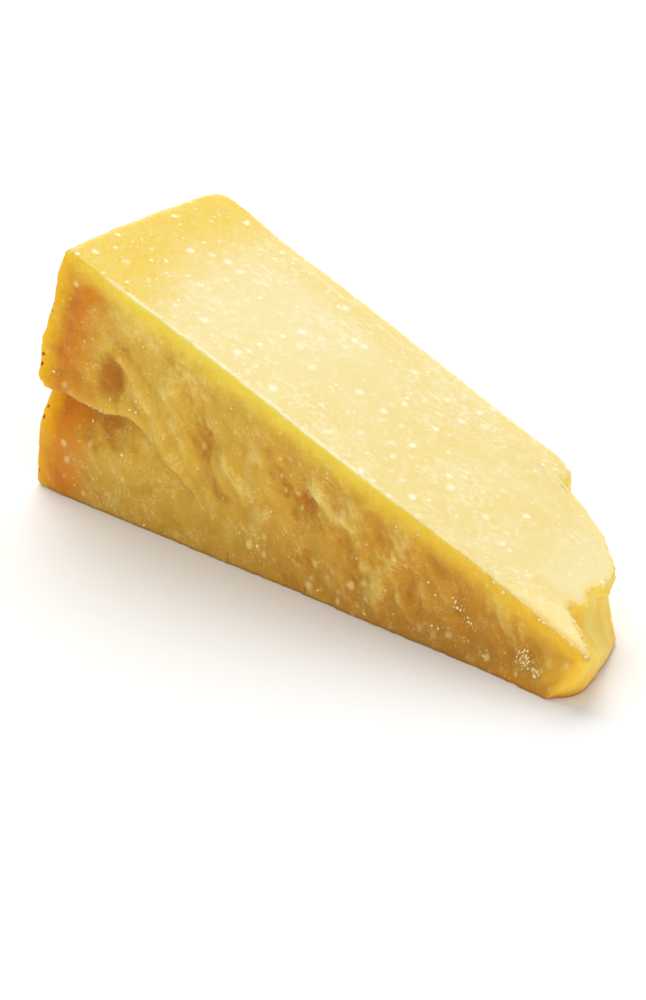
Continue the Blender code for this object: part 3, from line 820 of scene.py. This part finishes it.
def chunk_material(look):
    """The cheese: breaks, cuts and the rind's skin with its pin-dots, under crystals, flecks and a white
    crumbly edge that is partly a painted highlight.
    """
    material, coordinates, shader = new_material("cheese")
    here = CheeseFields(coordinates)
    x, wander, grain = here.x, here.wander, here.grain

    kept = (here.to_end + (grain - 0.5) * 1.5).rise(0.0, 0.8)
    frayed = (here.edge + (grain - 0.5) * 3.0 + wander * 3.0).fall(0.4, 3.0) * x.rise(142.0, 162.0)
    cut = here.flat * kept * (1.0 - frayed * 0.5)
    skin = here.from_rind.fall(0.02, 0.4)
    dots = dot_field(here.across, here.z) * here.from_rind.fall(2.1, 2.3) * (1.0 - cut)
    surface = grained(break_colour(here, look), here, look).tint(cut_colour(here, look), cut)
    surface = surface.tint(skin_colour(here, look), skin).tint(look.dot, dots * 0.9)

    crystals = crystal_field(here) * (1.0 - skin) * (1.0 - here.pit_shade)
    # White crumbly edge: partly crumbs, partly a painted highlight where the rounded edge catches the light.
    crumble_and_highlight = crumble_and_highlight_field(here)
    at_tip = (here.edge + wander * 3.0).fall(1.0, 5.0) * x.rise(142.0, 160.0)
    at_tip = at_tip * here.z.rise(7.0, 13.0) * here.y.fall(20.0, 26.0)
    flecks = (grain * 0.65 + here.dust * 0.35).rise(0.50, 0.60) * at_tip * here.flat
    surface = surface.tint(look.pale, (crystals * 0.6).most(crumble_and_highlight * 0.2) * (1.0 - cut))
    surface = surface.tint(look.fleck, flecks * 0.7)
    surface = surface.tint(look.white, crystals * 0.85 * cut)
    surface = surface.tint(look.crumb, crumble_and_highlight * 0.95 * cut)

    rough = (grain - 0.5) * 0.32 + (here.dust - 0.5) * 0.14 + (here.streak - 0.5) * 0.3
    height = rough * (1.0 - 0.7 * here.flat) + wander * 0.05
    feed(shader, "Base Color", surface)
    feed(shader, "Roughness", 0.5 - 0.1 * cut + 0.12 * (grain - 0.5) + 0.15 * crumble_and_highlight)
    feed(shader, "Normal", height.node("Bump", {}, {"Strength": 0.8, "Distance": MM, "Height": height}))
    feed_constants(shader, look, look.light_share)
    return material


def crumb_material(look):
    """Loose crumbs: pale cheese, whiter in places."""
    material, coordinates, shader = new_material("crumb")
    patchy = coordinates.noise(1.5 * MM, 2.0)
    cream = coordinates.colour(look.loose)
    feed(shader, "Base Color", cream.tint(look.crumb, patchy.rise(0.44, 0.62) * 0.5))
    feed(shader, "Roughness", 0.5 + 0.2 * patchy)
    feed_constants(shader, look, 0.0)
    return material


def crumb_places(chunk, count, draw):
    """Points on the chunk, drawn at random: thickest on the front's top edge near the thin end.

    A vertex's chance is its share of the surface times how thickly crumbs lie there.
    """
    mesh = chunk.data
    points, normals = np.empty(len(mesh.vertices) * 3), np.empty(len(mesh.vertices) * 3)
    mesh.vertices.foreach_get("co", points)
    mesh.vertices.foreach_get("normal", normals)
    points, normals = points.reshape(-1, 3) / MM + ORIGIN, normals.reshape(-1, 3)
    corners, areas = np.empty(len(mesh.loops), int), np.empty(len(mesh.polygons))
    mesh.loops.foreach_get("vertex_index", corners)
    mesh.polygons.foreach_get("area", areas)
    share = np.bincount(corners, np.repeat(areas, 4), len(points))
    from_rind, to_end, edge = np.empty((3, len(points)))
    for name, values in (("from_rind", from_rind), ("to_end", to_end), ("edge", edge)):
        mesh.attributes[name].data.foreach_get("value", values)
    x, y, z = points.T
    on_edge = bell(edge, 0.7) * (0.15 + 0.5 * smooth_step(95.0, 160.0, x)) * smooth_step(8.0, 0.0, y)
    on_end = 0.35 * smooth_step(3.0, 0.0, to_end) * bell(edge, 2.2) * smooth_step(40.0, 20.0, y)
    thick = 0.006 * smooth_step(6.0, 1.0, y) + on_edge + on_end
    on_front = smooth_step(9.0, 7.0, y) * smooth_step(0.5, -0.2, normals[:, 1])
    for cluster_x, cluster_z, spread, how_thick in CRUMB_CLUSTERS:
        thick = thick + how_thick * bell(np.hypot(x - cluster_x, z - cluster_z), spread) * on_front
    chance = share * thick * smooth_step(0.5, 1.5, z) * smooth_step(2.0, 6.0, from_rind)
    picked = draw.choice(len(points), count, replace=False, p=chance / chance.sum())
    return points[picked]


def crumb_mesh(places, smallest, largest, draw):
    """Lumpy little balls, half sunk in the surface: a cube's grid pushed out to a sphere and roughened."""
    shares, faces = block_surface((2, 2, 2))
    sphere = shares - 0.5
    sphere = sphere / np.linalg.norm(sphere, axis=1, keepdims=True)
    count = len(places)
    radius = smallest + (largest - smallest) * draw.random(count) ** 4
    shift = draw.uniform(0.0, LATTICE_CELLS, (count, 1, 3))
    lumpy = 1.0 + 0.55 * noise(CRUMB_SEED, *np.moveaxis(sphere * 1.3 + shift, -1, 0))
    squash = draw.uniform(0.65, 1.25, (count, 1, 3))
    points = sphere * squash * lumpy[..., None] * radius[:, None, None] + places[:, None]
    faces = faces + len(sphere) * np.arange(count)[:, None, None]
    return points.reshape(-1, 3), faces.reshape(-1, 4)


class ChunkSizes(bpy.types.PropertyGroup):
    """How finely the chunk's surface is divided."""

    along: IntProperty(name="Cells along", description="From rind to thin end", default=200, min=20)
    across: IntProperty(name="Cells across", description="From front break to back break", default=90, min=10)
    up: IntProperty(name="Cells up", description="From underside to top cut", default=100, min=10)


class CrumbSizes(bpy.types.PropertyGroup):
    """How many loose crumbs there are and how large."""

    count: IntProperty(name="Crumbs", description="Loose crumbs on the chunk", default=500, min=1)
    smallest: FloatProperty(name="Smallest", description="Smallest radius", default=0.0001, unit="LENGTH")
    largest: FloatProperty(name="Largest", description="Largest radius", default=0.00045, unit="LENGTH")


def colour_property(name, description, default):
    """A colour that a user can change, as linear red, green and blue."""
    return FloatVectorProperty(
        name=name, description=description, default=default, subtype="COLOR", size=3, min=0.0, max=1.0
    )


class CheeseLook(bpy.types.PropertyGroup):
    """Colours and gloss of the cheese."""

    cut: colour_property("Cut", "Cream of the two cut faces", (0.82, 0.665, 0.25))
    cut_deep: colour_property("Cut, deeper", "Deeper yellow patches of the cuts", (0.82, 0.64, 0.20))
    # Paler patches of the cuts, and the painted sheen across the middle of the top.
    haze_and_sheen: colour_property("Haze", "Paler patches of the cuts", (0.84, 0.735, 0.40))
    band: colour_property("Rind band", "Band along the rind on the cuts", (0.80, 0.545, 0.012))
    # Darker and deeper yellow than the cuts: partly painted shade.
    broken: colour_property("Break", "The broken faces", (0.75, 0.475, 0.055))
    amber: colour_property("Amber", "Deeper yellow of the broken faces", (0.67, 0.305, 0.024))
    # Paler than the break: on what stands out partly painted light; also paler tone in streaks and on the
    # rind.
    rib: colour_property("Ribs", "What stands out of the broken faces", (0.85, 0.625, 0.145))
    pale: colour_property("Pale grains", "Crystals and grains on the breaks", (0.96, 0.80, 0.34))
    # Painted glow where light comes through the edge.
    painted_glow: colour_property("Lit edge", "Yellow where light comes through the edge", (0.97, 0.74, 0.08))
    # Brighter than the breaks: partly painted light on the thin end.
    end: colour_property("Thin end", "The broken thin end", (0.97, 0.69, 0.135))
    tip: colour_property("Tip", "Golden breaks next to the thin end", (0.96, 0.56, 0.035))
    # Painted shade in the hollows and the pit, and browner tone in streaks.
    brown_and_shade: colour_property("Hollows", "Hollows in the broken faces", (0.50, 0.185, 0.010))
    # Painted shade near the underside and a painted contact shadow along the foot; also the cracks' own
    # colour.
    foot: colour_property("Foot", "The breaks near the underside", (0.42, 0.18, 0.018))
    orange: colour_property("Under the rind", "Zone of the breaks under the rind", (0.72, 0.255, 0.007))
    russet: colour_property("Russet", "Browner patches there and on the rind", (0.58, 0.17, 0.008))
    # Painted light: the golden lit rim of the breaks at the rind.
    lit_rim: colour_property("Rim", "The breaks right at the rind", (0.95, 0.58, 0.012))
    rind: colour_property("Rind", "The rind's outer skin", (0.68, 0.38, 0.07))
    rind_dark: colour_property("Rind, darker", "Darker patches of the rind", (0.52, 0.25, 0.045))
    dot: colour_property("Pin-dots", "Dots pressed into the rind", (0.30, 0.045, 0.008))
    white: colour_property("Crystals", "Crystals and scratches", (0.99, 0.92, 0.72))
    # On the cuts' edges partly a painted highlight; on loose crumbs their own pale colour.
    crumb: colour_property("Crumble", "The crumbly edges and palest crumbs", (0.95, 0.84, 0.55))
    fleck: colour_property("Flecks", "Pale flecks at the thin end", (0.93, 0.74, 0.31))
    loose: colour_property("Crumbs", "Loose crumbs", (1.0, 0.79, 0.36))
    light_share: FloatProperty(
        name="Light share", description="Share of the light that goes in", default=0.8, subtype="FACTOR"
    )
    light_depth: FloatVectorProperty(
        name="Light depth", description="How far each colour goes in, as a share", default=(1.0, 1.0, 0.9)
    )
    light_reach: FloatProperty(
        name="Light reach", description="How far light goes into the cheese", default=0.003, unit="LENGTH"
    )


class MakeChunk(bpy.types.Operator):
    """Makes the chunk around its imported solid"""

    bl_idname = "cheese.make_chunk"
    bl_label = "Chunk"

    def execute(self, context):
        sizes = context.scene.chunk_sizes
        shares, faces = block_surface((sizes.along, sizes.across, sizes.up))
        length, width, height = (gathered(shares[:, axis], pull) for axis, pull in enumerate(EDGE_PULL))
        points, known = chunk_form(length, width, height)
        chunk = mesh_object("chunk", points, faces, chunk_material(context.scene.cheese_look))
        for name, values in known.items():
            attribute = chunk.data.attributes.new(name, "FLOAT", "POINT")
            attribute.data.foreach_set("value", values.astype(np.float32))
        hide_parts("parmesan_chunk")
        return {"FINISHED"}


class MakeCrumbs(bpy.types.Operator):
    """Scatters loose crumbs along the chunk's broken edges"""

    bl_idname = "cheese.make_crumbs"
    bl_label = "Crumbs"

    def execute(self, context):
        sizes, draw = context.scene.crumb_sizes, np.random.default_rng(CRUMB_SEED)
        places = crumb_places(bpy.data.objects["chunk"], sizes.count, draw)
        points, faces = crumb_mesh(places, sizes.smallest / MM, sizes.largest / MM, draw)
        mesh_object("crumbs", points, faces, crumb_material(context.scene.cheese_look))
        return {"FINISHED"}


# The camera, from the photograph's corners: the point it looks at, in chunk coordinates, and where it stands.
AIM = (77.5, 20.0, 14.1)
AZIMUTH, ELEVATION = np.radians(42.21), np.radians(25.44)
DISTANCE, LENS, SENSOR = 1.0, 148.25, 36.0
WARM_WHITE = (1.0, 0.995, 0.975)
FLOOR_HALF_SIZE = 6.0


def towards(azimuth, elevation):
    """A unit vector towards this azimuth, turning from -Y to +X, and elevation."""
    level = np.cos(elevation)
    return Vector((np.sin(azimuth) * level, -np.cos(azimuth) * level, np.sin(elevation)))


def soft_light(name, azimuth, elevation, spread, strength, colour):
    """A far light from this direction, as soft as a panel that spans the spread. Angles are in degrees."""
    light = bpy.data.lights.new(name, "SUN")
    light.angle = np.radians(spread)
    light.energy = strength
    light.color = colour
    lamp = bpy.data.objects.new(name, light)
    direction = towards(np.radians(azimuth), np.radians(elevation))
    lamp.rotation_euler = direction.to_track_quat("Z", "Y").to_euler()
    bpy.context.scene.collection.objects.link(lamp)


class StageSettings(bpy.types.PropertyGroup):
    """Light and floor."""

    sky: FloatProperty(name="Sky", description="Strength of the even light from all round", default=0.42)
    key: FloatProperty(name="Key", description="Strength of the light from behind the rind", default=2.65)
    fill: FloatProperty(name="Fill", description="Strength of the light beside the thin end", default=1.1)
    floor_colour: colour_property("Floor", "The plain floor", (0.93, 0.93, 0.93))


class MakeStage(bpy.types.Operator):
    """Makes the floor, the lights and the camera"""

    bl_idname = "cheese.make_stage"
    bl_label = "Stage"

    def execute(self, context):
        scene, settings = context.scene, context.scene.stage_settings
        aim = Vector((np.array(AIM) - ORIGIN) * MM)

        camera = bpy.data.objects.new("camera", bpy.data.cameras.new("camera"))
        camera.data.sensor_fit = "VERTICAL"
        camera.data.sensor_height = SENSOR
        camera.data.lens = LENS
        direction = towards(AZIMUTH, ELEVATION)
        camera.location = aim + direction * DISTANCE
        camera.rotation_euler = direction.to_track_quat("Z", "Y").to_euler()
        scene.collection.objects.link(camera)
        scene.camera = camera

        floor = bpy.data.meshes.new("floor")
        corners = np.array([(-1.0, -1.0, 0.0), (1.0, -1.0, 0.0), (1.0, 1.0, 0.0), (-1.0, 1.0, 0.0)])
        floor.from_pydata(corners * FLOOR_HALF_SIZE, [], [(0, 1, 2, 3)])
        material, _, shader = new_material("floor")
        feed(shader, "Base Color", (*settings.floor_colour, 1.0))
        feed(shader, "Roughness", 0.7)
        feed(shader, "Specular IOR Level", 0.2)
        floor.materials.append(material)
        ground = bpy.data.objects.new("floor", floor)
        scene.collection.objects.link(ground)

        soft_light("key", 230.0, 44.0, 55.0, settings.key, WARM_WHITE)
        soft_light("fill", 55.0, 30.0, 60.0, settings.fill, WARM_WHITE)

        world = bpy.data.worlds.new("studio")
        world.use_nodes = True
        tree = world.node_tree
        seen = Field(tree, tree.nodes.new("ShaderNodeLightPath").outputs["Is Camera Ray"])
        feed(tree.nodes["Background"], "Color", (1.0, 1.0, 1.0, 1.0))
        feed(tree.nodes["Background"], "Strength", settings.sky + (1.0 - settings.sky) * seen)
        scene.world = world
        scene.view_settings.view_transform = "Standard"
        return {"FINISHED"}


class CHEESE_PT_panel(bpy.types.Panel):
    """The chunk's pieces, in the 3D view's sidebar"""

    bl_label = "Parmesan chunk"
    bl_space_type = "VIEW_3D"
    bl_region_type = "UI"
    bl_category = "Cheese"

    def draw(self, context):
        for group in GROUPS:
            box = self.layout.box()
            for name in GROUPS[group].__annotations__:
                box.prop(getattr(context.scene, group), name)
        for operator in OPERATORS:
            self.layout.operator(operator.bl_idname)


GROUPS = {
    "chunk_sizes": ChunkSizes,
    "crumb_sizes": CrumbSizes,
    "cheese_look": CheeseLook,
    "stage_settings": StageSettings,
}
OPERATORS = (MakeChunk, MakeCrumbs, MakeStage)


def register():
    for made in (*GROUPS.values(), *OPERATORS, CHEESE_PT_panel):
        bpy.utils.register_class(made)
    for name, group in GROUPS.items():
        setattr(bpy.types.Scene, name, PointerProperty(type=group))


def unregister():
    for name in GROUPS:
        delattr(bpy.types.Scene, name)
    for made in (CHEESE_PT_panel, *OPERATORS, *GROUPS.values()):
        bpy.utils.unregister_class(made)


def main():
    register()
    bpy.ops.cheese.make_chunk()
    bpy.ops.cheese.make_crumbs()
    bpy.ops.cheese.make_stage()


if __name__ == "__main__":
    main()
